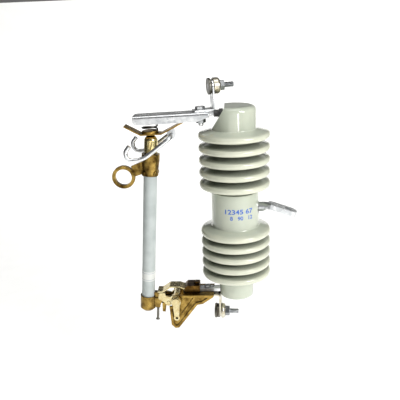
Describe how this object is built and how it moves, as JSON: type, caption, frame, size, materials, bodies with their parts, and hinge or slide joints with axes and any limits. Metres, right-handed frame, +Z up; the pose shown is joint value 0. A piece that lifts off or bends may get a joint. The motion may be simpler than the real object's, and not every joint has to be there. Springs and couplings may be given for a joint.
{
  "type": "fuse cutout",
  "caption": "Open distribution fuse cutout: ribbed porcelain insulator, mounting strap, top contact arm and a swinging fuse tube.",
  "frame": {"origin": "centre of the mounting strap's bolt hole, on the strap's upper face", "axes": "+Z up along the insulator, +X towards the pole, +Y away from the viewer; the fuse tube is on the -X side"},
  "size_m": [0.3483, 0.133, 0.4897],
  "materials": {
    "glaze": "glossy pale grey glaze",
    "cement": "dark rough cement",
    "galvanised": "hot-dip galvanised",
    "tinned": "tin plated",
    "bronze": "cast bronze, browned",
    "brass": "pale plated brass",
    "spring": "dark spring steel",
    "tube": "painted glass fibre",
    "label": "white band"
  },
  "bodies": {
    "insulator_body": {"porcelain_body": "glaze", "upper_cement": "cement", "lower_cement": "cement", "waist_cement": "cement", "upper_pin": "galvanised", "lower_pin": "galvanised", "mounting_strap": "galvanised", "top_channel": "galvanised", "channel_bolt": "galvanised", "channel_nut": "galvanised", "upper_terminal_strap": "galvanised", "upper_clamp_nut": "galvanised", "upper_clamp_stud": "galvanised", "loadbreak_hooks": "galvanised", "hinge_block_bolt": "galvanised", "lower_bolt": "galvanised", "lower_terminal_strap": "galvanised", "lower_clamp_nut": "galvanised", "lower_clamp_stud": "galvanised", "upper_clamp_disc": "tinned", "upper_clamp_cup": "tinned", "lower_clamp_disc": "tinned", "lower_clamp_cup": "tinned", "upper_contact_strip": "bronze", "hinge_casting": "bronze", "hook_saddle": "bronze", "hinge_block": "bronze", "hinge_contact_strap": "brass", "hinge_leaf_pack": "brass", "spring_seat": "brass", "backup_spring": "spring"},
    "trunnion_body": {"trunnion": "brass", "toggle_pin": "brass"},
    "fuse_holder": {"fuse_tube": "tube", "tube_label": "label", "upper_ferrule": "bronze", "contact_cap": "brass", "lower_ferrule": "bronze", "link_stud": "galvanised", "link_nut": "bronze"},
    "ejector": {"ejector_lever": "brass"}
  },
  "joints": [
    {"name": "fuse_holder_swing", "type": "hinge", "parent": "insulator_body", "child": "trunnion_body", "pos_m": [-0.2198, 0, -0.1785], "axis": [0, -1, 0], "range_deg": [0, 90]},
    {"name": "toggle", "type": "hinge", "parent": "trunnion_body", "child": "fuse_holder", "pos_m": [-0.2373, 0, -0.1915], "axis": [0, -1, 0], "range_deg": [0, 30]},
    {"name": "ejector_swing", "type": "hinge", "parent": "trunnion_body", "child": "ejector", "pos_m": [-0.2198, 0, -0.1785], "axis": [0, 1, 0], "range_deg": [0, 45]}
  ]
}
